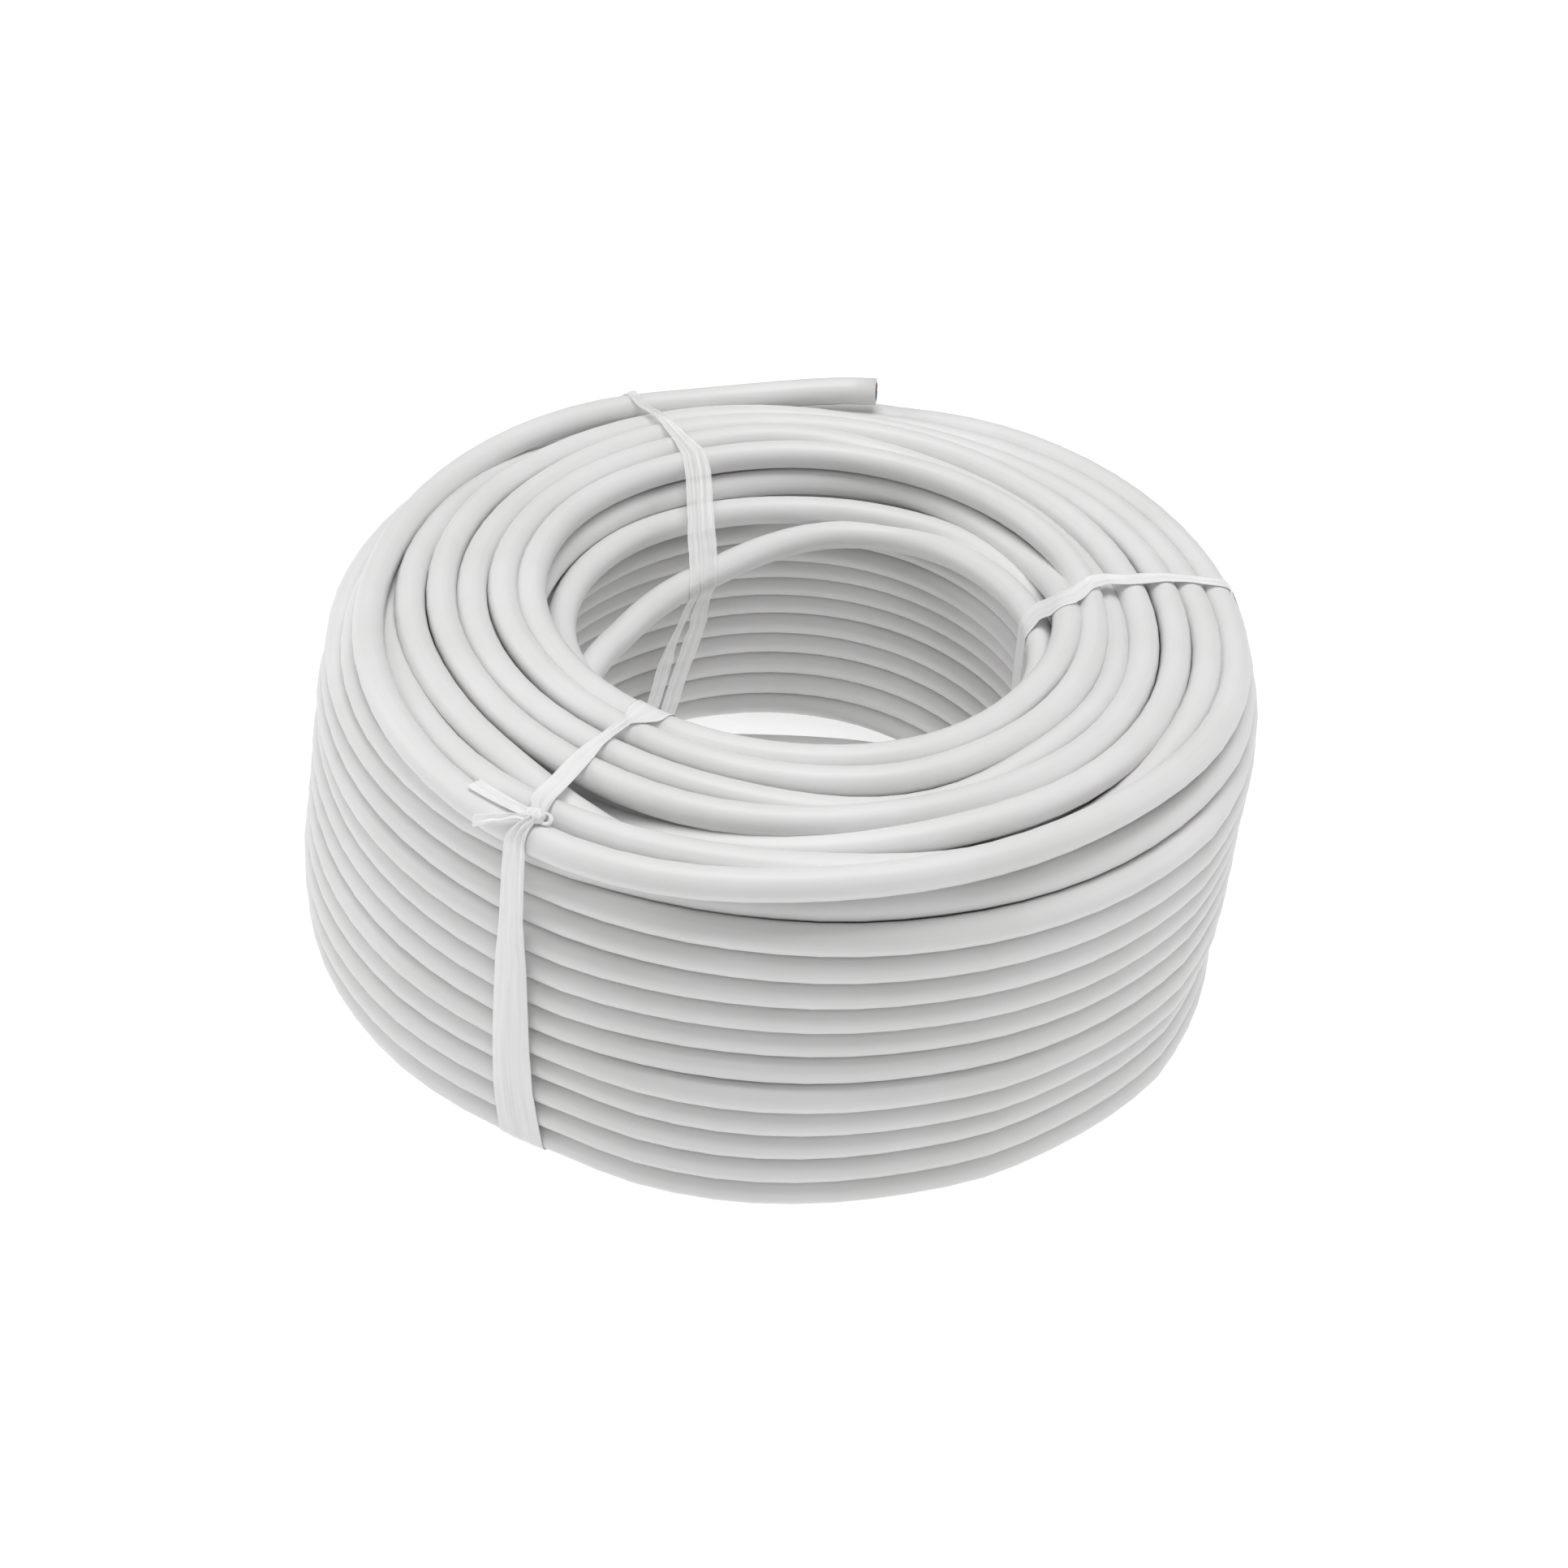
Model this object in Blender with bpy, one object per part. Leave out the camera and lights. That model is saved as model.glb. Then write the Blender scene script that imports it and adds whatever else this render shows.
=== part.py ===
# Coil of white electrical cable lying flat, held by three thin film ties.
# One length of cable: the winding, one slack turn across the bore and the free outer end.
from math import atan2, cos, degrees, hypot, pi, radians, sin, tan

import bmesh
import bpy
from mathutils import Vector

# cable and winding
cable = 0.009                       # outside diameter of the sheath
layers = 13                         # turns stacked up the side
lanes = 7                           # turns side by side on each end
layerPitch = 1.049 * cable
height = (layers - 1) * layerPitch + cable
outerBottom = 15.8 * cable          # centreline radius of the outermost turn on the floor
outerTop = 14.18 * cable            # the same in the top layer
boreBottom = 10.45 * cable          # centreline radius of the innermost turn on the floor
boreTop = 8.6 * cable
leanRight = 0.66 * cable            # how far the top layer has slipped to the right
leanFront = 1.5 * cable             # and toward the front
crestHalf = 0.22 * cable            # half width of the flat crest of each turn
grooveDepth = 0.38 * cable
spinSteps = 40

# free outer end, lying on the top layer
tailGap = 0.0003
tailHeight = height + 0.5 * cable + tailGap

# ties
filmThick = 0.0005
filmGap = 0.0003
channelDepth = 0.0015               # room under the coil where a tie passes
tieWidth = 0.0075
rightAngle, backAngle, frontAngle = 9, 117, 243
knotSize = 0.0052


def clearScene():
    for old in list(bpy.data.objects):
        bpy.data.objects.remove(old, do_unlink=True)


def plastic(name, color, roughness):
    material = bpy.data.materials.new(name)
    material.use_nodes = True
    shader = material.node_tree.nodes["Principled BSDF"]
    shader.inputs["Base Color"].default_value = (*color, 1)
    shader.inputs["Roughness"].default_value = roughness
    shader.inputs["Metallic"].default_value = 0
    return material


def outerRadius(z):
    return outerBottom - (outerBottom - outerTop) * (z / height) ** 4


def boreRadius(z):
    return boreBottom - (boreBottom - boreTop) * z / height


def lean(z):
    h = z / height
    return Vector((leanRight * h, -leanFront * h ** 3, 0))


def layerHeight(k):
    return height - cable / 2 - k * layerPitch


def laneRadius(j, z):
    return outerRadius(z) + (boreRadius(z) - outerRadius(z)) * j / (lanes - 1)


def windingSection():
    """Closed outline of the winding: down the outside, in under it, up the bore, out over the top."""
    half = cable / 2
    points = []

    def groove(a, b, inward):
        points.append(((a[0] + b[0]) / 2 + inward[0] * grooveDepth, (a[1] + b[1]) / 2 + inward[1] * grooveDepth))

    def side(order, radiusAt, outward):
        last = None
        for k in order:
            z = layerHeight(k)
            crest = (radiusAt(z) + outward * half, z)
            if last:
                groove(last, crest, (-outward, 0))
            points.extend((crest[0], z + s * crestHalf) for s in (outward, -outward))
            last = crest

    def end(order, level, z, upward):
        last = None
        for j in order:
            crest = (laneRadius(j, z), level)
            if last:
                groove(last, crest, (0, -upward))
            points.extend((crest[0] - s * crestHalf, level) for s in (upward, -upward))
            last = crest

    side(range(layers), outerRadius, 1)
    end(range(lanes), 0, layerHeight(layers - 1), -1)
    side(range(layers - 1, -1, -1), boreRadius, -1)
    end(range(lanes - 1, -1, -1), height, layerHeight(0), 1)
    return points


def turnedWinding():
    bm = bmesh.new()
    ring = [bm.verts.new((r, 0, z)) for r, z in windingSection()]
    edges = [bm.edges.new((a, b)) for a, b in zip(ring, ring[1:] + ring[:1])]
    bmesh.ops.spin(bm, geom=ring + edges, cent=(0, 0, 0), axis=(0, 0, 1), angle=2 * pi,
                   steps=spinSteps, use_duplicate=False)
    bmesh.ops.remove_doubles(bm, verts=bm.verts, dist=1e-5)
    for v in bm.verts:
        if v.co.z < 1e-5:
            turn = degrees(atan2(v.co.y, v.co.x)) % 360
            if any(abs(turn - a) < 2 for a in (rightAngle, backAngle, frontAngle)):
                v.co.z += channelDepth
    for v in bm.verts:
        v.co += lean(min(v.co.z, height))
    bmesh.ops.recalc_face_normals(bm, faces=bm.faces)
    return meshObject("cable_coil", bm)


def meshObject(name, bm):
    mesh = bpy.data.meshes.new(name)
    bm.to_mesh(mesh)
    bm.free()
    obj = bpy.data.objects.new(name, mesh)
    bpy.context.collection.objects.link(obj)
    return obj


def smoothPath(stops, perSpan):
    """Points on a smooth curve through the stops, each given in cable diameters."""
    p = [Vector(s) * cable for s in stops]
    p = [p[0] * 2 - p[1]] + p + [p[-1] * 2 - p[-2]]
    path = []
    for a, b, c, d in zip(p, p[1:], p[2:], p[3:]):
        for i in range(perSpan):
            t = i / perSpan
            path.append(b + (c - a) * t / 2 + (a * 2 - b * 5 + c * 4 - d) * t * t / 2
                        + (b * 3 - a - c * 3 + d) * t ** 3 / 2)
    path.append(p[-2])
    return path


def tube(name, path):
    curve = bpy.data.curves.new(name, "CURVE")
    curve.dimensions = "3D"
    curve.bevel_depth = cable / 2
    curve.bevel_resolution = 3
    curve.use_fill_caps = True
    spline = curve.splines.new("POLY")
    spline.points.add(len(path) - 1)
    for point, co in zip(spline.points, path):
        point.co = (*co, 1)
    obj = bpy.data.objects.new(name, curve)
    bpy.context.collection.objects.link(obj)
    deps = bpy.context.evaluated_depsgraph_get()
    mesh = bpy.data.meshes.new_from_object(obj.evaluated_get(deps))
    bpy.data.objects.remove(obj, do_unlink=True)
    solid = bpy.data.objects.new(name, mesh)
    bpy.context.collection.objects.link(solid)
    bm = bmesh.new()
    bm.from_mesh(mesh)
    bmesh.ops.remove_doubles(bm, verts=bm.verts, dist=1e-6)
    bmesh.ops.recalc_face_normals(bm, faces=bm.faces)
    bm.to_mesh(mesh)
    bm.free()
    return solid


def join(target, tool):
    """Fuse tool into target as one solid."""
    mod = target.modifiers.new("join_" + tool.name, "BOOLEAN")
    mod.operation = "UNION"
    mod.solver = "EXACT"
    mod.object = tool
    deps = bpy.context.evaluated_depsgraph_get()
    mesh = bpy.data.meshes.new_from_object(target.evaluated_get(deps))
    target.modifiers.clear()
    target.data = mesh
    bpy.data.objects.remove(tool, do_unlink=True)


top = height / cable
# slack inner turn: leaves the right of the bore wall, bows across the bore, dives under the front left
slackStops = [(8.5, -5.9, 12.0), (8.95, -2.6, 12.0), (8.3, 1.0, 11.9), (6.45, 4.45, 11.6), (3.1, 6.4, 11.1),
              (0.8, 5.9, 11.0), (-2.5, 3.4, 11.0), (-4.75, 0.1, 11.0), (-5.9, -2.6, 10.6), (-6.7, -4.2, 10.3),
              (-7.6, -6.0, 10.0)]
# outer end: rises out of the top layer at the left and lies over the back lanes
rest = tailHeight / cable
tailStops = [(-13.1, -2.2, top - 1.4), (-12.85, 0.4, top - 0.9), (-12.0, 2.6, top - 0.1), (-11.0, 4.4, rest - 0.1),
             (-9.6, 6.1, rest), (-6.6, 8.75, rest), (-2.6, 10.6, rest), (0.9, 11.4, rest), (2.65, 11.65, rest)]


def wallSpot(k):
    """Where a tie touches the bore wall, at the lower edge of a layer's crest."""
    room = filmGap + tieWidth / 2 * tan(pi / spinSteps)     # a flat band inside a round bore
    return boreRadius(layerHeight(k)) - cable / 2 - room, layerHeight(k) - crestHalf


def bandSection(over):
    """Outline of a tie round the winding at an angle, in (radius, height), outside first, then the top."""
    half = cable / 2
    gap = filmGap
    points = [(outerRadius(0) + crestHalf, 0.0001), (outerRadius(0) + half + gap, half - crestHalf)]
    points += [(outerRadius(layerHeight(k)) + half + gap, layerHeight(k) + crestHalf)
               for k in range(layers - 1, -1, -1)]
    points.append((outerRadius(layerHeight(0)) + crestHalf + gap, height + gap))
    points += over
    points += [wallSpot(layers - 1), (boreRadius(half) - crestHalf, 0.0001)]
    return points


def tie(name, angle, over, widths):
    """Thin closed band of film round the winding; widths name (share of the way round, width)."""
    a = radians(angle)
    out = Vector((cos(a), sin(a), 0))
    across = Vector((-sin(a), cos(a), 0))
    section = bandSection(over)
    count = len(section)
    spots = []
    for i, (r, z) in enumerate(section):
        r0, z0 = section[i - 1]
        r1, z1 = section[(i + 1) % count]
        d0 = Vector((r - r0, z - z0)).normalized()
        d1 = Vector((r1 - r, z1 - z)).normalized()
        n0, n1 = Vector((d0.y, -d0.x)), Vector((d1.y, -d1.x))
        n = n0 + n1
        n = n / max(n.length_squared / 2, 0.5)
        rOut, zOut = r + n.x * filmThick, z + n.y * filmThick
        if z < 0.0002:
            z, zOut, rOut = filmThick + 0.0001, 0, r + n.x * filmThick * 0.5
        spots.append(((r, z), (rOut, zOut)))
    lengths = [0]
    for (p, _), (q, _) in zip(spots, spots[1:]):
        lengths.append(lengths[-1] + hypot(q[0] - p[0], q[1] - p[1]))

    def widthAt(share):
        for (s0, w0), (s1, w1) in zip(widths, widths[1:]):
            if share <= s1:
                return w0 + (w1 - w0) * (share - s0) / (s1 - s0)
        return widths[-1][1]

    bm = bmesh.new()
    rings = []
    for (inner, outer), run in zip(spots, lengths):
        w = widthAt(run / lengths[-1]) / 2
        ring = []
        for (r, z), s in ((inner, -w), (inner, w), (outer, w), (outer, -w)):
            ring.append(bm.verts.new(out * r + across * s + Vector((0, 0, z)) + lean(min(z, height))))
        rings.append(ring)
    for ring, after in zip(rings, rings[1:] + rings[:1]):
        for i in range(4):
            j = (i + 1) % 4
            bm.faces.new((ring[i], ring[j], after[j], after[i]))
    bmesh.ops.recalc_face_normals(bm, faces=bm.faces)
    return meshObject(name, bm)


def knot(center, toward):
    """Flattened overhand knot with two short film ends lying on the top lanes."""
    bm = bmesh.new()
    bmesh.ops.create_icosphere(bm, subdivisions=2, radius=knotSize)
    for v in bm.verts:
        v.co.z *= 0.62
        v.co.y *= 0.8
        v.co.x *= 1 + 0.12 * sin(7 * v.co.y / knotSize)
        v.co += center
    bmesh.ops.recalc_face_normals(bm, faces=bm.faces)
    return meshObject("knot", bm)


def filmEnd(start, stop, lift, width):
    """Short flat film end from the knot, a little wavy."""
    bm = bmesh.new()
    along = (stop - start).normalized()
    across = Vector((0, 0, 1)).cross(along).normalized()
    rings = []
    steps = 6
    for i in range(steps + 1):
        t = i / steps
        mid = start.lerp(stop, t) + Vector((0, 0, lift * sin(pi * t * 1.4)))
        w = width * (0.55 + 0.45 * t) / 2
        ring = [bm.verts.new(mid + across * s + Vector((0, 0, u)))
                for s, u in ((-w, 0), (w, 0), (w, filmThick), (-w, filmThick))]
        rings.append(ring)
    for ring, after in zip(rings, rings[1:]):
        for i in range(4):
            j = (i + 1) % 4
            bm.faces.new((ring[i], ring[j], after[j], after[i]))
    bm.faces.new(rings[0])
    bm.faces.new(rings[-1])
    bmesh.ops.recalc_face_normals(bm, faces=bm.faces)
    return meshObject("end", bm)


def finish(obj, material):
    obj.data.materials.clear()
    obj.data.materials.append(material)
    bm = bmesh.new()
    bm.from_mesh(obj.data)
    bmesh.ops.remove_doubles(bm, verts=bm.verts, dist=2e-5)
    bmesh.ops.dissolve_degenerate(bm, edges=bm.edges, dist=2e-5)
    bmesh.ops.triangulate(bm, faces=bm.faces)
    bmesh.ops.recalc_face_normals(bm, faces=bm.faces)
    bm.to_mesh(obj.data)
    bm.free()
    for face in obj.data.polygons:
        face.use_smooth = True


def main():
    clearScene()
    sheath = plastic("sheath", (0.84, 0.85, 0.85), 0.42)
    film = plastic("film", (0.80, 0.81, 0.82), 0.35)

    coil = turnedWinding()
    join(coil, tube("slack_turn", smoothPath(slackStops, 4)))
    join(coil, tube("outer_end", smoothPath(tailStops, 4)))
    finish(coil, sheath)

    half = cable / 2
    gap = filmGap
    inTop = (boreRadius(layerHeight(0)) - crestHalf - gap, height + gap)
    inSide = [(wallSpot(0)[0], height - half + crestHalf)] + [wallSpot(k) for k in range(layers - 1)]
    right = tie("tie_right", rightAngle, [inTop, (7.35 * cable, 12.45 * cable), (7.15 * cable, 11.6 * cable)],
                [(0, tieWidth), (0.33, tieWidth), (0.36, tieWidth * 0.4), (0.46, tieWidth), (1, tieWidth)])
    overTail = [(13.6 * cable, top * cable + 0.55 * cable), (13.2 * cable, tailHeight + half + gap),
                (12.2 * cable, tailHeight + half + gap)]
    back = tie("tie_back", backAngle, overTail + [inTop, (5.1 * cable, 11.9 * cable), (4.4 * cable, 11.1 * cable)],
               [(0, tieWidth), (0.35, tieWidth * 0.5), (0.44, tieWidth), (1, tieWidth)])
    front = tie("tie_front", frontAngle, [inTop] + inSide,
                [(0, tieWidth), (0.35, tieWidth * 0.6), (0.47, tieWidth * 1.3), (0.5, tieWidth), (1, tieWidth)])
    a = radians(frontAngle)
    out = Vector((cos(a), sin(a), 0))
    corner = out * (outerTop + 0.1 * cable) + lean(height)
    center = corner + Vector((0, 0, height + gap + filmThick * 0.6 + knotSize * 0.6))
    join(front, knot(center, out))
    for reach, turn, width in ((0.022, -62, 0.006), (0.021, -24, 0.0075)):
        b = a + radians(turn)
        join(front, filmEnd(center, center + Vector((cos(b), sin(b), 0)) * reach - Vector((0, 0, 0.001)),
                            0.0015, width))
    for obj in (right, back, front):
        finish(obj, film)

    # stand the coil over the origin with its lowest turns on the floor
    corners = [o.matrix_world @ Vector(c) for o in (coil, right, back, front) for c in o.bound_box]
    shift = Vector([-(max(c[i] for c in corners) + min(c[i] for c in corners)) / 2 for i in (0, 1)]
                   + [-min(c.z for c in corners)])
    for obj in (coil, right, back, front):
        for v in obj.data.vertices:
            v.co += shift
    print("shift", [round(s * 1000, 3) for s in shift])


main()
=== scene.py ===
# Coil of white electrical cable lying flat, tied with three strips of film
from math import atan2, cos, exp, floor, log, pi, radians, sin, sqrt

import bmesh
import bpy
import numpy as np
from mathutils import Matrix, Vector, noise


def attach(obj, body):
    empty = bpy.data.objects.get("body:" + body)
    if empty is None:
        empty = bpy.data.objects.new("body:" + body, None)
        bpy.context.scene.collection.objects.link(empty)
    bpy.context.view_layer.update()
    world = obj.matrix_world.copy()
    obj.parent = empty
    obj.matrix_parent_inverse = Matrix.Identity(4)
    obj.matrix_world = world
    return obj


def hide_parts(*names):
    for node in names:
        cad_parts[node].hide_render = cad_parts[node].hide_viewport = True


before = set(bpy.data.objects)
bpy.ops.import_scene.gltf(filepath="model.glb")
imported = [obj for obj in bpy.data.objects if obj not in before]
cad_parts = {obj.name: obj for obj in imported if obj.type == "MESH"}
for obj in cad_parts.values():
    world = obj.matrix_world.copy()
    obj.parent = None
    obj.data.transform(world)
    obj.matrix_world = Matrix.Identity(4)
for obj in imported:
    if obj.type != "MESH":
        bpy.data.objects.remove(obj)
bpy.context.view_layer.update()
bpy.ops.object.select_all(action="DESELECT")

# the whole coil is laid out in cable diameters, round the middle of its top layer
coil = {
    "cable": 0.009,
    "length": 50.0,
    "middle": (0.004801, -0.012766),   # middle of the top layer, in metres
    "topLevel": 13.09,                 # height of the top layer's centreline, in diameters
    "sidePitch": 1.0486,               # from turn to turn down the outside
    "wallPitch": 0.968,                # from turn to turn down the bore
    "sides": 16,                       # faces round the cable
    "seenStep": 5,                     # degrees between rings on turns that show
    "buriedStep": 15,
    "wall": 0.74,                      # inside of the sheath at a cut end, as a share of its outside
    "recess": 0.0009,                  # how far the cores' bed lies inside a cut end
}
d = coil["cable"]


def place(azimuth, radius, height):
    a = radians(azimuth)
    return Vector((coil["middle"][0] + radius * d * cos(a), coil["middle"][1] + radius * d * sin(a),
                   (coil["topLevel"] + height) * d))


# camera: the photograph's viewing angle
view = {"away": 84.89, "elevation": 37.02, "roll": 4.77, "lens": 56.21, "shift": (0.0023, -0.0289),
        "target": (-0.37, 0.86, 6.795)}     # away and target in diameters
tilt, roll = radians(view["elevation"]), radians(view["roll"])
ahead = Vector((0, cos(tilt), -sin(tilt)))
level = Vector((1, 0, 0))
upright = Vector((0, sin(tilt), cos(tilt)))
right = level * cos(roll) + upright * sin(roll)
up = upright * cos(roll) - level * sin(roll)
bpy.ops.object.camera_add()
camera = bpy.context.object
camera.name = "camera"
camera.data.sensor_width = 36
camera.data.lens = view["lens"]
camera.data.shift_x, camera.data.shift_y = view["shift"]
camera.data.clip_start, camera.data.clip_end = 0.02, 20
target = view["target"]
eye = Vector((target[0] * d + coil["middle"][0], (target[1] - view["away"] * cos(tilt)) * d + coil["middle"][1],
              (target[2] + view["away"] * sin(tilt)) * d))
camera.matrix_world = Matrix.Translation(eye) @ Matrix((right, up, -ahead)).transposed().to_4x4()
bpy.context.scene.camera = camera
print("camera placed")

# outer side, layer by layer: middle (right, back of the top layer's middle) and radius, from the top down
sideRings = [(0, 0, 14.18), (-0.26, 0.58, 14.77), (-0.20, 0.89, 15.04), (-0.22, 1.06, 15.21), (-0.32, 1.25, 15.36),
             (-0.33, 1.34, 15.38), (-0.42, 1.60, 15.56), (-0.46, 1.57, 15.62), (-0.53, 1.31, 15.63),
             (-0.60, 1.42, 15.70), (-0.76, 1.41, 15.67), (-0.72, 1.49, 15.75), (-0.66, 1.63, 15.80)]
# how far the side bulges off its rings: azimuth, then upper, middle and lower turns
sideBulge = [(200, 0, 0, 0), (220, 0, 0.1, -0.1), (234, 0, 0.15, -0.3), (246, 0, 0.2, -0.35), (256, 0, 0.1, -0.1),
             (267, 0, 0.05, 0), (288, 0.1, 0.1, 0), (300, 0.2, 0.25, 0.15), (312, 0.3, 0.35, 0.15),
             (330, 0.4, 0.4, 0.35), (350, 0.1, 0.1, 0.1), (362, 0, 0, 0)]
bulgeLayers = (2.5, 4.5, 6.5, 8.5)        # upper to 2.5, middle from 4.5 to 6.5, lower from 8.5
# how far the first turn below the top layer lies back from its ring at the front, by azimuth
setBack = {"stops": [(230, 0), (242, 0.35), (252, 0.75), (270, 0.9), (290, 0.9), (310, 0.7), (330, 0.5), (342, 0)],
           "layers": 0.6, "inward": 0.7, "down": 0.25}
# bore wall, turn by turn from the top: how far back of the top layer's middle it reaches
wallReach = [9.39, 9.38, 9.12, 9.51, 9.60, 10.00, 10.27, 10.54, 10.58, 10.71, 10.70, 10.68, 10.66, 10.78]
wallMiddle = [(-0.33, 0.33), (-0.66, 1.35)]        # at the top and on the floor
lastLayer, lastTurn = len(sideRings) - 1, len(wallReach) - 1
# how the cable goes down, in degrees: where the first turn begins, where in a turn the step down to the next one
# starts, how long that step is, and how far the lanes blend in
outerSide = {"first": 1260, "layer": 1, "turns": 11, "past": 200, "stepAt": 190, "stepLong": 160, "blend": 60}
boreSide = {"first": 2370, "turn": 3, "stepAt": 210, "stepLong": 110, "blend": 60}
# the last stretch leaves the bore wall and runs straight over the floor
innerEnd = {"turns": 10.72, "leaves": 80, "back": 8.9, "slope": 0.1, "soft": 1.25}


def ringRadius(right, back, radius, azimuth):
    a = radians(azimuth)
    return right * cos(a) + back * sin(a) + sqrt(radius ** 2 - (right * sin(a) - back * cos(a)) ** 2)


# radius and height of the outer side at a layer, which may lie between two turns
def sideAt(layer, azimuth):
    layer = min(max(layer, 0), lastLayer)
    ring = [float(np.interp(layer, range(lastLayer + 1), [r[i] for r in sideRings])) for i in range(3)]
    rows = [r[0] for r in sideBulge]
    around = azimuth % 360 if azimuth % 360 > 180 else azimuth % 360 + 360
    bulges = [float(np.interp(around, rows, [r[i] for r in sideBulge])) for i in (1, 2, 3)]
    bulge = float(np.interp(layer, bulgeLayers, (bulges[0], bulges[1], bulges[1], bulges[2])))
    sunk = max(0, 1 - abs(layer - 1) / setBack["layers"]) * float(np.interp(around, *zip(*setBack["stops"])))
    bulge -= setBack["inward"] * sunk
    return ringRadius(*ring, azimuth) + bulge, -layer * coil["sidePitch"] - setBack["down"] * sunk


# the same for the bore wall
def wallAt(turn, azimuth):
    turn = min(max(turn, 0), lastTurn)
    t = turn / lastTurn
    right, back = [a + (b - a) * t for a, b in zip(*wallMiddle)]
    reach = float(np.interp(turn, range(lastTurn + 1), wallReach))
    return ringRadius(right, back, reach - back, azimuth), -turn * coil["wallPitch"]


# lanes of the turns that show, from the cable's outer end: azimuth, radius, height over the top layer's centreline
outerLanes = [
    (81, 13.42, 0.82), (86, 13.35, 0.68), (90, 13.25, 0.53), (95, 13.2, 0.39), (100, 13.15, 0.29),
    (105, 13.1, 0.22), (110, 13.07, 0.2), (115, 13.1, 0.23), (119, 13.17, 0.28), (124, 13.25, 0.33),
    (130, 13.35, 0.33), (136, 13.45, 0.3), (143, 13.58, 0.22), (154, 13.7, 0.12), (165, 13.8, 0.05),
    (180, 13.88, 0), (210, 14.43, 0), (225, 14.75, 0), (240, 15.02, 0), (250, 15.0, 0), (260, 14.78, 0.03),
    (270, 14.35, 0.05), (280, 14.1, 0.08), (290, 13.94, 0.1), (300, 13.87, 0.13), (310, 13.82, 0.16),
    (320, 13.87, 0.14), (330, 14.02, 0.06), (340, 14.17, 0), (350, 14.24, 0), (360, 14.14, 0), (380, 14.03, 0),
    (400, 13.95, 0.03), (410, 13.9, 0), (420, 13.86, -0.1), (430, 13.9, -0.33), (440, 13.9, -0.65),
    (460, 13.85, -0.95), (490, 13.75, -1.05), (510, 13.6, -1.05), (525, 13.45, -1.0), (540, 13.38, -0.93),
    (556, 13.42, -0.6), (570, 13.5, -0.37), (590, 13.83, -0.15), (600, 13.85, 0), (610, 13.8, 0.05),
    (620, 13.7, 0.08), (630, 13.5, 0), (640, 13.42, -0.12), (650, 13.25, -0.45), (660, 13.1, -0.75),
    (670, 13.0, -0.85), (680, 13.0, -0.8), (688, 13.08, -0.5), (695, 13.18, -0.15), (705, 13.28, 0),
    (720, 13.27, 0), (740, 13.12, 0), (760, 13.07, 0), (780, 12.95, -0.2), (800, 12.8, -0.4), (815, 12.9, -0.6),
    (825, 12.92, -0.75), (850, 12.95, -0.75), (860, 13.0, -0.6), (870, 12.98, -0.4), (885, 12.85, -0.2),
    (900, 12.85, -0.1), (930, 12.63, 0), (950, 12.75, 0), (957, 12.9, -0.2), (964, 13.02, -0.45),
    (972, 13.15, -0.78), (980, 13.25, -1.05), (995, 13.3, -1.3), (1010, 13.2, -1.8), (1040, 13.2, -1.9),
    (1060, 13.2, -1.6), (1080, 13.2, -1.2), (1140, 13.3, -1.5), (1200, 13.9, -1.75), (1240, 14.35, -1.2)]
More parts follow.
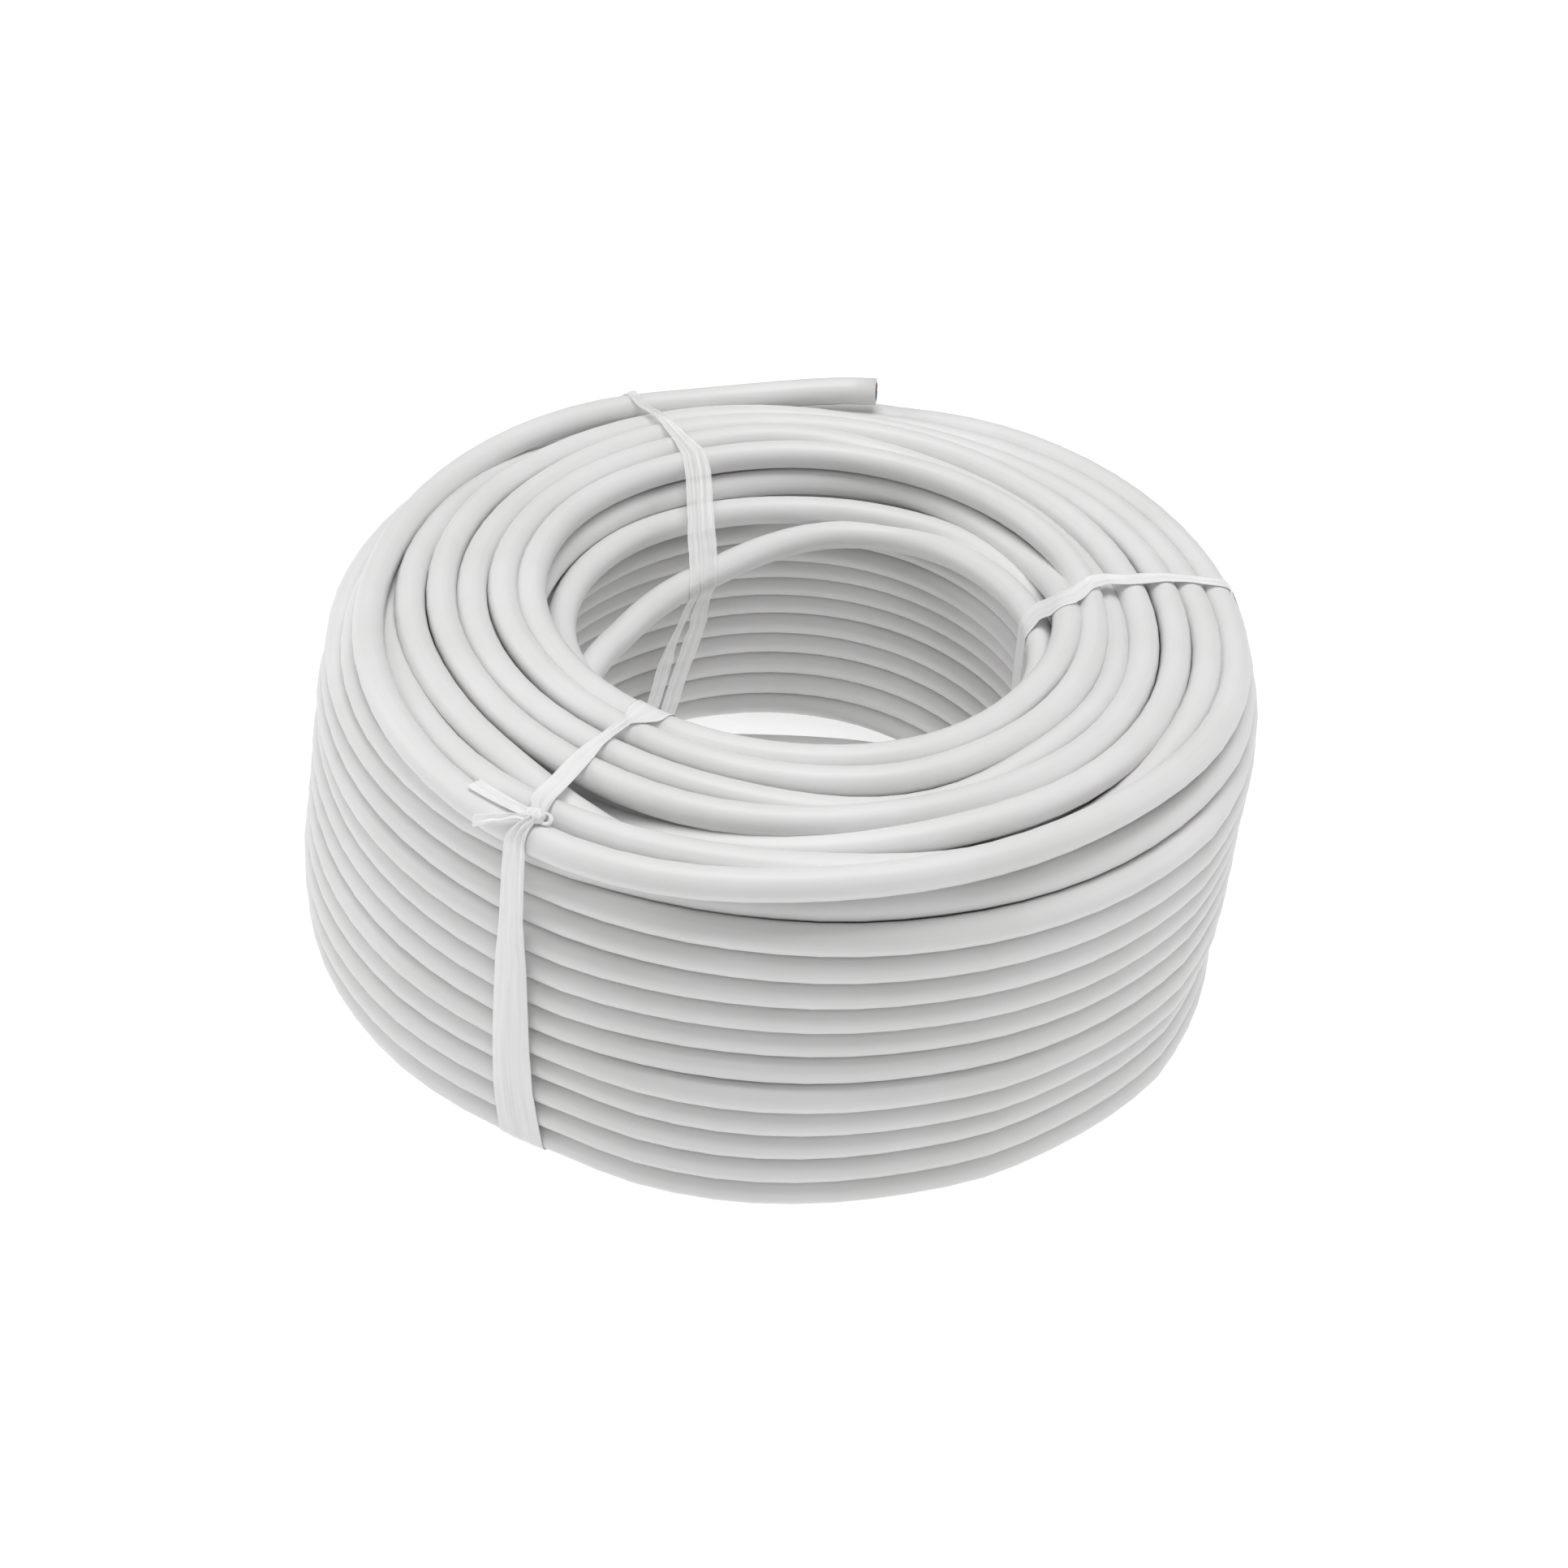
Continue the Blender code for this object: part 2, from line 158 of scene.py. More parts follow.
innerLanes = [
    (-120, 11.95, -1.4), (-112, 12.1, -1.05), (-104, 12.22, -0.8), (-96, 12.27, -0.6), (-88, 12.27, -0.42),
    (-80, 12.25, -0.25), (-70, 12.2, -0.08), (-60, 12.22, 0), (-50, 12.28, 0), (-40, 12.3, 0), (-30, 12.3, 0),
    (0, 12.25, 0), (20, 12.3, 0), (40, 12.2, 0), (60, 12.12, -0.1), (80, 12.1, -0.15), (95, 12.12, -0.05),
    (110, 12.15, 0), (120, 12.15, 0), (130, 12.1, 0), (150, 12.05, 0), (160, 12.02, 0), (170, 11.95, 0),
    (180, 11.85, 0), (210, 11.55, 0), (240, 11.62, 0.05), (250, 11.7, 0.08), (260, 11.76, 0.1), (270, 11.68, 0.15),
    (280, 11.58, 0.2), (290, 11.5, 0.25), (300, 11.45, 0.25), (310, 11.4, 0.2), (320, 11.35, 0.1), (330, 11.3, 0),
    (360, 11.2, 0), (380, 11.17, 0), (400, 11.22, 0), (410, 11.28, 0), (420, 11.4, 0), (430, 11.48, 0),
    (440, 11.5, 0), (460, 11.5, 0), (480, 11.38, 0), (490, 11.22, 0), (500, 11.06, 0), (510, 10.96, 0),
    (540, 10.87, 0), (570, 10.62, 0), (600, 10.45, 0), (620, 10.55, 0), (630, 10.57, -0.15), (640, 10.55, -0.38),
    (650, 10.55, -0.48), (660, 10.5, -0.45), (670, 10.32, -0.35), (680, 10.22, -0.3), (690, 10.3, -0.3),
    (700, 10.4, -0.3), (720, 10.33, -0.35), (735, 10.4, -0.45), (750, 10.45, -0.5), (780, 10.6, -0.42),
    (800, 10.62, -0.2), (810, 10.62, 0.05), (820, 10.62, 0.08), (830, 10.5, 0.03), (840, 10.36, 0), (850, 10.27, 0),
    (870, 10.15, 0), (900, 9.9, 0), (930, 9.47, 0), (960, 9.23, 0), (970, 9.3, 0), (990, 9.45, 0), (1010, 9.6, 0),
    (1030, 9.43, 0), (1050, 9.45, 0), (1080, 9.56, 0), (1100, 9.7, 0), (1120, 9.72, 0), (1140, 9.72, 0),
    (1160, 9.66, 0), (1170, 9.6, 0), (1190, 9.35, 0), (1210, 9.25, 0), (1230, 9.2, 0), (1260, 8.95, 0),
    (1290, 8.65, 0), (1320, 8.5, 0), (1350, 8.45, 0), (1380, 8.53, 0), (1410, 8.4, 0), (1440, 8.72, 0),
    (1450, 8.82, -0.1), (1463, 9.15, -0.75), (1473, 9.35, -1.0), (1485, 9.47, -1.05), (1504, 9.77, -1.05),
    (1513, 9.8, -1.05), (1530, 9.54, -1.05), (1552, 9.1, -1.05), (1570, 9.09, -1.05), (1592, 9.02, -1.05),
    (1609, 9.0, -1.1), (1625, 9.15, -1.2), (1640, 9.33, -1.3), (1670, 9.3, -1.35), (1710, 8.95, -1.35),
    (1750, 8.6, -1.42), (1780, 8.5, -1.5), (1805, 8.5, -1.6), (1818, 8.66, -1.6), (1831, 8.81, -1.6),
    (1841, 8.92, -1.6), (1850, 8.98, -1.6), (1859, 8.9, -1.6), (1870, 8.67, -1.6), (1880, 8.53, -1.6),
    (1894, 8.3, -1.6), (1915, 8.24, -1.6), (1941, 8.27, -1.6), (1962, 8.15, -1.65), (1985, 7.9, -1.7),
    (2010, 7.5, -1.6), (2040, 7.0, -1.4), (2060, 6.85, -1.3), (2080, 7.0, -1.25), (2110, 7.6, -1.2),
    (2140, 8.0, -1.15), (2160, 8.05, -1.15), (2176, 8.0, -1.2), (2189, 8.0, -1.4), (2202, 8.15, -1.6),
    (2213, 8.3, -1.8), (2224, 8.36, -2.0), (2233, 8.2, -2.1), (2242, 7.8, -2.1), (2249, 7.39, -2.1),
    (2261, 6.57, -2.1), (2277, 5.76, -2.1), (2288, 5.46, -2.1), (2303, 5.4, -2.1), (2317, 5.48, -2.1),
    (2329, 5.77, -2.2), (2339, 6.17, -2.35), (2348, 6.63, -2.5), (2360, 7.6, -2.7), (2370, 8.5, -2.85)]
# the turns that fill the coil between its outer side and its bore: share of the way, lane (0 outside, 1 bore), layer
filling = {"turns": 41, "stops": [
    (0.0, 0.0, 12), (0.01, 0.19, 12), (0.04, 0.19, 12), (0.185, 0.19, 2.0), (0.2, 0.38, 1.7), (0.36, 0.38, 12),
    (0.385, 0.38, 12), (0.395, 0.58, 12), (0.42, 0.58, 12), (0.575, 0.58, 1.6), (0.59, 0.75, 1.6), (0.74, 0.78, 12),
    (0.77, 0.78, 12), (0.785, 0.84, 11), (0.96, 0.8, 3.0), (1.0, 0.6, 2.0)]}


# azimuth, radius and height every step degrees along the stops, with the corners rounded off
def smoothed(stops, step, width=5):
    stops = np.array(stops, float)
    fine = np.arange(stops[0, 0], stops[-1, 0] + 0.5, 1.0)
    reach = 3 * width
    bell = np.exp(-np.arange(-reach, reach + 1) ** 2 / (2 * width ** 2))
    bell /= bell.sum()
    out = [fine]
    for i in (1, 2):
        line = np.interp(fine, stops[:, 0], stops[:, i])
        out.append(np.convolve(np.pad(line, reach, "edge"), bell, "valid"))
    pick = np.unique(np.append(np.arange(0, len(fine), step), len(fine) - 1))
    return [tuple(row[i] for row in out) for i in pick]


# where the ties pass under the coil, and how far they lift the lowest turns there
underTies = {"azimuths": (10, 118, 239), "flat": 4, "fades": 8, "below": -11.5, "lift": 0.035}


# 1 where a tie passes under the coil, falling to 0 beside it
def filmUnder(azimuth):
    return max(ease(1 - (abs((azimuth - tie + 180) % 360 - 180) - underTies["flat"]) / underTies["fades"])
               for tie in underTies["azimuths"])


def ease(t):
    t = min(max(t, 0), 1)
    return t * t * (3 - 2 * t)


# evens out the radius and the height for some rings either side of a join
def easeJoin(route, join, reach, passes):
    for _ in range(passes):
        for i in range(join - reach, join + reach):
            before, here, after = route[i - 1], route[i], route[i + 1]
            route[i] = (here[0], *[(before[j] + 2 * here[j] + after[j]) / 4 for j in (1, 2)])


# every ring of the cable from its outer end to its inner one: azimuth, radius, height
def cableRoute():
    route = smoothed(outerLanes, coil["seenStep"])
    start = outerLanes[-1][0]
    r0, h0 = route[-1][1:]
    turn = start + coil["seenStep"]
    blended = outerSide["first"] + outerSide["blend"]
    last = outerSide["first"] + 360 * outerSide["turns"] + outerSide["past"]
    while turn <= last:
        done = (turn - outerSide["first"]) / 360
        whole = floor(done)
        step = ease(((done - whole) * 360 - outerSide["stepAt"]) / outerSide["stepLong"])
        radius, height = sideAt(outerSide["layer"] + whole + step, turn)
        if turn < blended:
            mix = ease((turn - start) / (blended - start))
            radius, height = r0 + (radius - r0) * mix, h0 + (height - h0) * mix
        route.append((turn, radius, height))
        turn += coil["seenStep"]
    # filling turns, up and down between the side and the bore
    begin, first = turn, innerLanes[0][0]
    end = first + 360 * round((begin + 360 * filling["turns"] - first) / 360)
    shares, lanes, layers = zip(*filling["stops"])
    while turn < end:
        share = (turn - begin) / (end - begin)
        lane, layer = float(np.interp(share, shares, lanes)), float(np.interp(share, shares, layers))
        outR, height = sideAt(layer, turn)
        inR = wallAt(layer * lastTurn / lastLayer, turn)[0]
        route.append((turn, outR + (inR - outR) * lane, height))
        turn += coil["buriedStep"]
    shift = end - first
    inner = [(a + shift, r, h) for a, r, h in smoothed(innerLanes, coil["seenStep"])]
    joins = [(len(route), 3, 12)]
    route += inner
    joins.append((len(route) - 1, 6, 14))
    # down the bore wall to the floor
    r0, h0 = inner[-1][1:]
    begin = turn = inner[-1][0] + coil["seenStep"]
    last = turn + 360 * innerEnd["turns"]
    while turn <= last:
        done = (turn - shift - boreSide["first"]) / 360
        whole = floor(done)
        step = ease(((done - whole) * 360 - boreSide["stepAt"]) / boreSide["stepLong"])
        radius, height = wallAt(boreSide["turn"] + whole + step, turn)
        mix = ease((turn - begin) / boreSide["blend"])
        if mix < 1:
            radius, height = r0 + (radius - r0) * mix, h0 + (height - h0) * mix
        if turn > last - innerEnd["leaves"]:
            a = radians(turn - shift)
            straight, soft = innerEnd["back"] / (sin(a) - innerEnd["slope"] * cos(a)), innerEnd["soft"]
            radius = -soft * log(exp(-radius / soft) + exp(-straight / soft))
        route.append((turn, radius, height))
        turn += coil["seenStep"]
    for join in joins:
        easeJoin(route, *join)
    # the lowest turns are a hair up off the floor where the film passes under them
    return [(a, r, h + underTies["lift"] * filmUnder(a) if h < underTies["below"] else h) for a, r, h in route]


route = cableRoute()
line = [place(*stop) for stop in route]
long = sum((b - a).length for a, b in zip(line, line[1:]))
print("cable route:", len(line), "rings,", round(route[-1][0] / 360, 1), "turns,", round(long, 2), "m")


# closed round tube along the points, with its lengthwise and crosswise place in a UV map
def sweep(name, points, radius, sides):
    count = len(points)
    corners, faces, wraps = [], [], []
    run = 0
    runs = []
    for i, p in enumerate(points):
        if i:
            run += (p - points[i - 1]).length
        runs.append(run)
        along = (points[min(i + 1, count - 1)] - points[max(i - 1, 0)]).normalized()
        outward = along.cross(Vector((0, 0, 1))).normalized()
        over = outward.cross(along).normalized()
        for s in range(sides):
            a = 2 * pi * s / sides
            corners.append(p + (outward * cos(a) + over * sin(a)) * radius)
    for i in range(count - 1):
        for s in range(sides):
            n = (s + 1) % sides
            faces.append((i * sides + s, i * sides + n, (i + 1) * sides + n, (i + 1) * sides + s))
            wraps.append(((runs[i], s / sides), (runs[i], (s + 1) / sides), (runs[i + 1], (s + 1) / sides),
                          (runs[i + 1], s / sides)))
    for ring, back in ((0, points[1] - points[0]), (count - 1, points[-2] - points[-1])):
        cut, inward = points[ring], back.normalized() * coil["recess"]
        outer = [ring * sides + s for s in range(sides)]
        for reach, sunk in ((coil["wall"], 0), (coil["wall"] - 0.02, 1)):
            inner = []
            for s in range(sides):
                inner.append(len(corners))
                corners.append(cut + (corners[ring * sides + s] - cut) * reach + inward * sunk)
            for s in range(sides):
                n = (s + 1) % sides
                faces.append((outer[s], outer[n], inner[n], inner[s]))
                wraps.append(((runs[ring], 0),) * 4)
            outer = inner
        corners.append(cut + inward)
        for s in range(sides):
            faces.append((len(corners) - 1, outer[s], outer[(s + 1) % sides]))
            wraps.append(((runs[ring], 0),) * 3)
    mesh = bpy.data.meshes.new(name)
    mesh.from_pydata(corners, [], faces)
    layer = mesh.uv_layers.new(name="along")
    layer.data.foreach_set("uv", np.array([c for w in wraps for c in w], np.float32).ravel())
    cutFaces = 6 * sides          # at each cut end the sheath's wall, its inside and the bed of the cores
    mesh.polygons.foreach_set("use_smooth", [True] * (len(faces) - cutFaces) + [False] * cutFaces)
    obj = bpy.data.objects.new(name, mesh)
    bpy.context.collection.objects.link(obj)
    tidy = bmesh.new()
    tidy.from_mesh(mesh)
    bmesh.ops.recalc_face_normals(tidy, faces=tidy.faces)
    tidy.to_mesh(mesh)
    tidy.free()
    return obj


cable = sweep("cable", line, d / 2, coil["sides"])


# finishes
sheathLook = {"color": (0.765, 0.757, 0.757), "shade": (0.70, 0.70, 0.695), "roughness": 0.4, "grain": 0.05}
filmLook = {"color": (0.97, 0.965, 0.965), "roughness": 0.34, "cover": 0.74, "coverStretched": 0.46}
coreColors = {"brown": (0.13, 0.045, 0.02), "black": (0.02, 0.02, 0.022), "blue": (0.03, 0.11, 0.42),
              "grey": (0.3, 0.31, 0.32)}


def bareMaterial(name):
    material = bpy.data.materials.new(name)
    material.use_nodes = True
    tree = material.node_tree
    shader = tree.nodes["Principled BSDF"]

    def add(kind, **values):
        node = tree.nodes.new(kind)
        for key, value in values.items():
            if key in node.inputs:
                node.inputs[key].default_value = value
            else:
                setattr(node, key, value)
        return node
    return material, tree, shader, add


# smooth drawn PVC: faint run lines along the cable, fine grain, a little powder, slow changes of tone
def sheathMaterial():
    material, tree, shader, add = bareMaterial("sheathPvc")
    link = tree.links.new
    along = add("ShaderNodeUVMap", uv_map="along")
    drawn = add("ShaderNodeMapping")
    drawn.inputs["Scale"].default_value = (6.0, 26.0, 1.0)
    link(along.outputs["UV"], drawn.inputs["Vector"])
    runLines = add("ShaderNodeTexNoise", Scale=1.0, Detail=4.0, Roughness=0.6)
    link(drawn.outputs["Vector"], runLines.inputs["Vector"])
    spot = add("ShaderNodeTexCoord")
    slow = add("ShaderNodeTexNoise", Scale=26.0, Detail=3.0, Roughness=0.55)
    link(spot.outputs["Object"], slow.inputs["Vector"])
    grain = add("ShaderNodeTexNoise", Scale=1500.0, Detail=2.0, Roughness=0.6)
    link(spot.outputs["Object"], grain.inputs["Vector"])
    blend = add("ShaderNodeMath", operation="MULTIPLY_ADD")
    link(runLines.outputs["Fac"], blend.inputs[0])
    blend.inputs[1].default_value = 0.45
    link(slow.outputs["Fac"], blend.inputs[2])
    ramp = add("ShaderNodeValToRGB")
    ramp.color_ramp.elements[0].position, ramp.color_ramp.elements[1].position = 0.45, 0.95
    ramp.color_ramp.elements[0].color = (*sheathLook["shade"], 1)
    ramp.color_ramp.elements[1].color = (*sheathLook["color"], 1)
    link(blend.outputs["Value"], ramp.inputs["Fac"])
    link(ramp.outputs["Color"], shader.inputs["Base Color"])
    gloss = add("ShaderNodeMapRange")
    gloss.inputs["To Min"].default_value = sheathLook["roughness"] - 0.06
    gloss.inputs["To Max"].default_value = sheathLook["roughness"] + 0.12
    link(slow.outputs["Fac"], gloss.inputs["Value"])
    link(gloss.outputs["Result"], shader.inputs["Roughness"])
    fine = add("ShaderNodeBump", Strength=sheathLook["grain"], Distance=0.00005)
    link(grain.outputs["Fac"], fine.inputs["Height"])
    drawnBump = add("ShaderNodeBump", Strength=0.16, Distance=0.00012)
    link(runLines.outputs["Fac"], drawnBump.inputs["Height"])
    link(fine.outputs["Normal"], drawnBump.inputs["Normal"])
    link(drawnBump.outputs["Normal"], shader.inputs["Normal"])
    shader.inputs["IOR"].default_value = 1.5
    shader.inputs["Specular IOR Level"].default_value = 0.42
    return material


# milky packing film: pulled into streaks along its length, denser where it is folded over
def filmMaterial(name, thickness):
    material, tree, shader, add = bareMaterial(name)
    link = tree.links.new
    across = add("ShaderNodeUVMap", uv_map="UVMap")
    pulled = add("ShaderNodeMapping")
    pulled.inputs["Scale"].default_value = (5.0, 4.0, 1.0)
    link(across.outputs["UV"], pulled.inputs["Vector"])
    streaks = add("ShaderNodeTexNoise", Scale=1.0, Detail=5.0, Roughness=0.65)
    link(pulled.outputs["Vector"], streaks.inputs["Vector"])
    cover = add("ShaderNodeMapRange")
    cover.inputs["From Min"].default_value, cover.inputs["From Max"].default_value = 0.3, 0.7
    cover.inputs["To Min"].default_value = thickness - 0.07
    cover.inputs["To Max"].default_value = thickness + 0.09
    link(streaks.outputs["Fac"], cover.inputs["Value"])
    link(cover.outputs["Result"], shader.inputs["Alpha"])
    tone = add("ShaderNodeValToRGB")
    tone.color_ramp.elements[0].position, tone.color_ramp.elements[1].position = 0.3, 0.7
    tone.color_ramp.elements[0].color = (*[c * 0.96 for c in filmLook["color"]], 1)
    tone.color_ramp.elements[1].color = (*filmLook["color"], 1)
    link(streaks.outputs["Fac"], tone.inputs["Fac"])
    link(tone.outputs["Color"], shader.inputs["Base Color"])
    crease = add("ShaderNodeBump", Strength=0.12, Distance=0.0002)
    link(streaks.outputs["Fac"], crease.inputs["Height"])
    link(crease.outputs["Normal"], shader.inputs["Normal"])
    shader.inputs["Roughness"].default_value = filmLook["roughness"]
    shader.inputs["IOR"].default_value = 1.5
    return material


# one colour that a fine noise breaks up, for the cores, their copper and the floor
def plainMaterial(name, color, roughness, metal=0.0, scale=2600.0, spread=0.12):
    material, tree, shader, add = bareMaterial(name)
    link = tree.links.new
    spot = add("ShaderNodeTexCoord")
    grain = add("ShaderNodeTexNoise", Scale=scale, Detail=3.0)
    link(spot.outputs["Object"], grain.inputs["Vector"])
    ramp = add("ShaderNodeValToRGB")
    ramp.color_ramp.elements[0].position, ramp.color_ramp.elements[1].position = 0.3, 0.7
    ramp.color_ramp.elements[0].color = (*[c * (1 - spread) for c in color], 1)
    ramp.color_ramp.elements[1].color = (*color, 1)
    link(grain.outputs["Fac"], ramp.inputs["Fac"])
    link(ramp.outputs["Color"], shader.inputs["Base Color"])
    bump = add("ShaderNodeBump", Strength=0.15, Distance=0.00005)
    link(grain.outputs["Fac"], bump.inputs["Height"])
    link(bump.outputs["Normal"], shader.inputs["Normal"])
    shader.inputs["Roughness"].default_value = roughness
    shader.inputs["Metallic"].default_value = metal
    return material


sheath = sheathMaterial()
cable.data.materials.append(sheath)
print("cable swept:", len(cable.data.polygons), "faces")


def wearObject(obj, materials):
    for material in materials:
        obj.data.materials.append(material)


def applyAll(obj):
    bpy.ops.object.select_all(action="DESELECT")
    obj.select_set(True)
    bpy.context.view_layer.objects.active = obj
    for modifier in list(obj.modifiers):
        bpy.ops.object.modifier_apply(modifier=modifier.name)
    bpy.ops.object.transform_apply(location=True, rotation=True, scale=True)


def joinAll(name, pieces):
    bpy.ops.object.select_all(action="DESELECT")
    for piece in pieces:
        piece.select_set(True)
    bpy.context.view_layer.objects.active = pieces[0]
    if len(pieces) > 1:
        bpy.ops.object.join()
    pieces[0].name = name
    return pieces[0]


# cut ends: four insulated cores on their bed, each with its copper showing
cutEnd = {"coreRadius": 0.15, "coreSpread": 0.185, "copper": 0.56, "stands": 0.0002, "edge": 0.00006,
          "proud": 0.00012}
coreMaterials = [plainMaterial(name + "Core", color, 0.35) for name, color in coreColors.items()]
copper = plainMaterial("copperWire", (0.72, 0.32, 0.16), 0.3, 1.0, 5000.0, 0.3)


def buildCutEnd(tip, heading):
    parts = []
    turned = heading.to_track_quat("Z", "Y")
    for i, material in enumerate(coreMaterials):
        a = pi / 4 + i * pi / 2
        offset = Vector((cutEnd["coreSpread"] * d * cos(a), cutEnd["coreSpread"] * d * sin(a), 0))
        depth = coil["recess"] + cutEnd["stands"]
        bpy.ops.object.select_all(action="DESELECT")
        spot = tip + turned @ (offset - Vector((0, 0, depth / 2 - cutEnd["stands"])))
        bpy.ops.mesh.primitive_cylinder_add(vertices=24, radius=cutEnd["coreRadius"] * d, depth=depth, location=spot,
                                            rotation=turned.to_euler())
        core = bpy.context.object
        wearObject(core, [material, copper])
        bpy.ops.object.mode_set(mode="EDIT")
        bpy.ops.mesh.select_all(action="DESELECT")
        edit = bmesh.from_edit_mesh(core.data)
        for face in edit.faces:
            face.select_set(face.normal.z > 0.9)
        bmesh.update_edit_mesh(core.data)
        bpy.ops.mesh.inset(thickness=cutEnd["coreRadius"] * d * (1 - cutEnd["copper"]), depth=0)
        bpy.ops.mesh.inset(thickness=cutEnd["edge"], depth=cutEnd["proud"])
        core.active_material_index = 1
        bpy.ops.object.material_slot_assign()
        bpy.ops.object.mode_set(mode="OBJECT")
        applyAll(core)
        parts.append(core)
    return parts


outerHeading, innerHeading = (line[0] - line[1]).normalized(), (line[-1] - line[-2]).normalized()
cores = joinAll("cores", buildCutEnd(line[0], outerHeading) + buildCutEnd(line[-1], innerHeading))
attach(cores, "root")
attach(cable, "root")
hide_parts("cable_coil")
print("cut ends built")

# film ties: each lies round the wound cable, on the hull of the turns that it holds
film = {
    "thick": 0.00012,                  # in metres, the rest in diameters
    "gap": 0.03,
    "middle": (12.0, 6.8),             # middle of the coil's section: radius, height
    "loose": (7.9, 9),                 # the front tie leaves out turns inside this radius and above this height
    "wrapGrid": (260, 28),             # faces along and across
    "endGrid": (60, 20),
    "tight": 0.15,                     # share of the folds that is left where the film lies tight
    "gathered": 0.05,                  # lift from which the folds are full
    "crumple": 0.012,
    "clear": 0.01,                     # least lift off the hull of the turns
}
azimuths, radii = np.array([r[0] for r in route]), np.array([r[1] for r in route])
levels = np.array([r[2] for r in route]) + coil["topLevel"]
facing = np.radians(np.arange(0, 360, 1.0))
hulls = {}


# how far the turns reach from the section's middle, in the direction of angle
def wrapReach(azimuth, angle, leaveLoose):
    key = (round(azimuth * 8), leaveLoose)
    if key not in hulls:
        here = key[0] / 8
        turns = here + 360 * np.arange(np.ceil((azimuths[0] - here) / 360), np.floor((azimuths[-1] - here) / 360) + 1)
        r, z = np.interp(turns, azimuths, radii), np.interp(turns, azimuths, levels)
        if leaveLoose:
            held = ~((r < film["loose"][0]) & (z > film["loose"][1]))
            r, z = r[held], z[held]
        hulls[key] = np.max((r[:, None] - film["middle"][0]) * np.cos(facing)
                            + (z[:, None] - film["middle"][1]) * np.sin(facing), axis=0) + 0.5 + film["gap"]
    toward = np.cos(facing - radians(angle))
    near = toward > 0.05
    return float(np.min(hulls[key][near] / toward[near]))


# a point on the wrapped coil: azimuth round the coil, angle round its section, lift off the cable in diameters
def onWrap(azimuth, angle, lift, leaveLoose=False):
    reach = wrapReach(azimuth, angle, leaveLoose) + lift
    a, b = radians(azimuth), radians(angle)
    r = film["middle"][0] + reach * cos(b)
    z = max((film["middle"][1] + reach * sin(b)) * d, 0.00003)
    return Vector((coil["middle"][0] + r * d * cos(a), coil["middle"][1] + r * d * sin(a), z))


# a grid of film put in place by spot, from its share of the length and its side, -1 to 1
def filmStrip(name, grid, spot):
    bpy.ops.object.select_all(action="DESELECT")
    bpy.ops.mesh.primitive_grid_add(x_subdivisions=grid[1], y_subdivisions=grid[0], size=1, location=(0, 0, 0))
    strip = bpy.context.object
    strip.name = name
    for corner in strip.data.vertices:
        corner.co = spot(corner.co.y + 0.5, corner.co.x * 2)
    wall = strip.modifiers.new("wall", "SOLIDIFY")
    wall.thickness = film["thick"]
    wall.offset = 0
    applyAll(strip)
    bpy.ops.object.mode_set(mode="EDIT")
    bpy.ops.mesh.select_all(action="SELECT")
    bpy.ops.mesh.normals_make_consistent(inside=False)
    bpy.ops.object.mode_set(mode="OBJECT")
    bpy.ops.object.shade_smooth()
    return strip


# a ribbon of film round the section: angle, azimuth of its two edges, number of folds, their depth, lift
def wrapRibbon(name, stops, seed, leaveLoose=False):
    table = np.array(stops, float)
    angles = np.linspace(table[0, 0], table[-1, 0], 400)
    lefts, rights = [np.interp(angles, table[:, 0], table[:, i]) for i in (1, 2)]
    middles = [onWrap((left + right) / 2, a, 0, leaveLoose) for left, right, a in zip(lefts, rights, angles)]
    runs = np.cumsum([0] + [(q - p).length for p, q in zip(middles, middles[1:])])

    def spot(along, side):
        angle = float(np.interp(along * runs[-1], runs, angles))
        left, right, folds, depth, lift = [float(np.interp(angle, table[:, 0], table[:, i])) for i in range(1, 6)]
        share = (side + 1) / 2
        wander = 0.35 * noise.noise(Vector((along * 14, seed, 0)))
        fold = 0.5 - 0.5 * cos(2 * pi * (folds * share + wander + seed))
        pinch = min(1, 4 * (1 - abs(side))) ** 0.7
        depth *= film["tight"] + (1 - film["tight"]) * ease(lift / film["gathered"])
        crumple = film["crumple"] * noise.noise(Vector((share * 4, along * 34, seed)))
        slack = 0.25 * (1 - abs(side)) * noise.noise(Vector((along * 30, seed, 7))) * (right - left) * 0.3
        lift = lift + depth * fold * pinch + crumple * pinch + film["clear"]
        return onWrap(left + (right - left) * share + slack, angle, lift, leaveLoose)

    return filmStrip(name, film["wrapGrid"], spot)


# a free end of film lying on the wrap: azimuth, angle of its two edges, folds, depth, lift
def looseEnd(name, stops, seed):
    table = np.array(stops, float)

    def spot(along, side):
        azimuth, low, high, folds, depth, lift = [float(np.interp(along, np.linspace(0, 1, len(table)), table[:, i]))
                                                  for i in range(6)]
        share = (side + 1) / 2
        fold = 0.5 - 0.5 * cos(2 * pi * (folds * share + seed + 0.3 * noise.noise(Vector((along * 5, seed, 0)))))
        pinch = min(1, 4 * (1 - abs(side))) ** 0.7
        ragged = 0.5 * noise.noise(Vector((share * 4, seed, 1))) * along ** 8
        return onWrap(azimuth + ragged, low + (high - low) * share, lift + depth * fold * pinch
                      + film["crumple"] * noise.noise(Vector((share * 4, along * 9, seed))), True)

    return filmStrip(name, film["endGrid"], spot)


